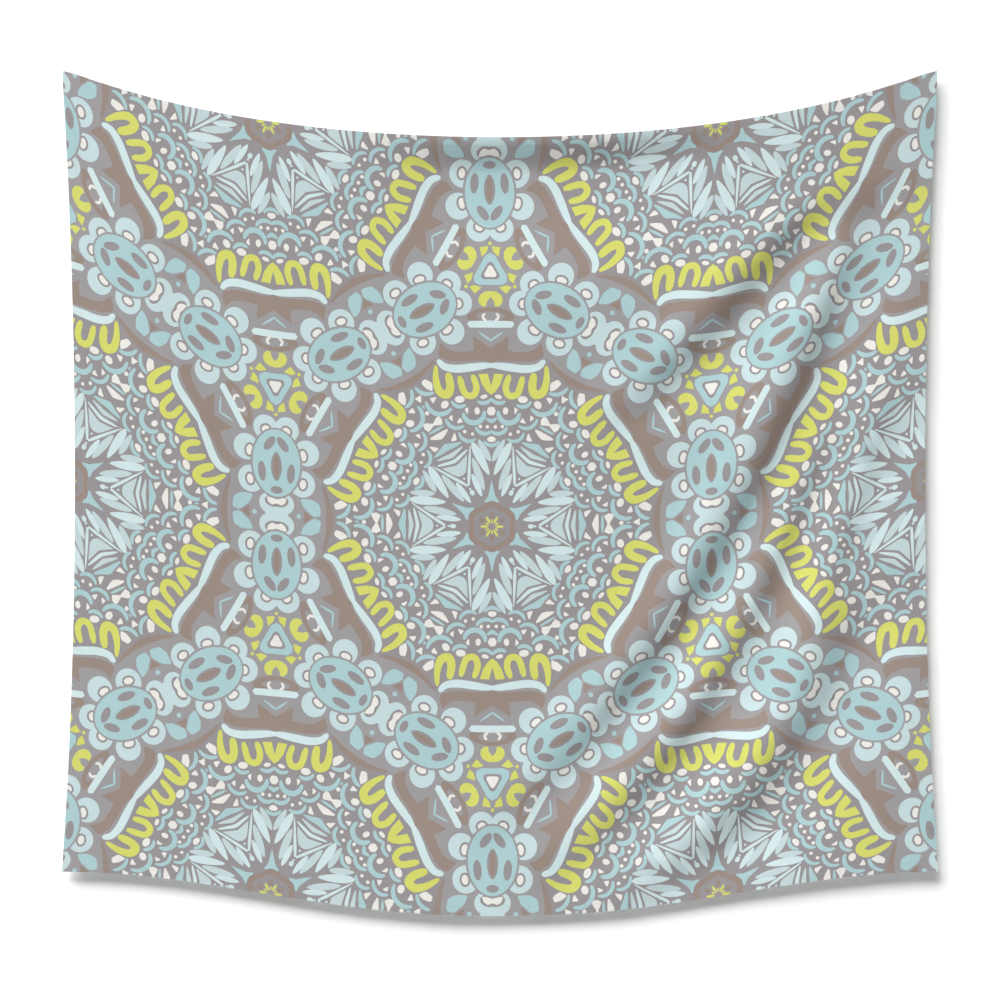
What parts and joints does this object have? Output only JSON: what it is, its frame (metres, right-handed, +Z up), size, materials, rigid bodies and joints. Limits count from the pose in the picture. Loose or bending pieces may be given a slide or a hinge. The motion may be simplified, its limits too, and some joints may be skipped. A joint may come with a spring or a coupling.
{
  "type": "wall tapestry",
  "caption": "Printed fabric wall hanging with hemmed edges, hung by corner cord loops on push pins.",
  "frame": {"origin": "on the wall's face, midway between the two push pins, at the height of their shafts", "axes": "+X to the right seen from the front, +Y into the wall, +Z up; the printed face looks along -Y"},
  "size_m": [1.48, 0.0279, 1.431],
  "materials": {
    "printed_cloth": "matte woven polyester",
    "hem_cloth": "matte woven polyester",
    "thread": "spun polyester thread",
    "cord": "braided cotton cord",
    "label_ribbon": "satin ribbon, blank",
    "clear_plastic": "clear moulded polystyrene",
    "needle_steel": "drawn, polished"
  },
  "bodies": {
    "wall_pins": {"pin_head_left": "clear_plastic", "pin_head_right": "clear_plastic", "pin_needle_left": "needle_steel", "pin_needle_right": "needle_steel"},
    "cloth": {"printed_panel": "printed_cloth", "hem_top": "hem_cloth", "hem_bottom": "hem_cloth", "hem_left": "hem_cloth", "hem_right": "hem_cloth", "stitch_top": "thread", "stitch_bottom": "thread", "stitch_left": "thread", "stitch_right": "thread", "cord_loop_left": "cord", "cord_loop_right": "cord", "bar_tack_left": "thread", "bar_tack_right": "thread", "label_tail": "label_ribbon"},
    "label": {"care_label": "label_ribbon"}
  },
  "joints": [
    {"name": "swing", "type": "hinge", "parent": "wall_pins", "child": "cloth", "pos_m": [0, -0.007, 0.00405], "axis": [-1, 0, 0], "range_deg": [0, 60]},
    {"name": "label_flap", "type": "hinge", "parent": "cloth", "child": "label", "pos_m": [-0.7155, -0.01415, -1.18], "axis": [0, 0, 1], "range_deg": [0, 120]}
  ]
}
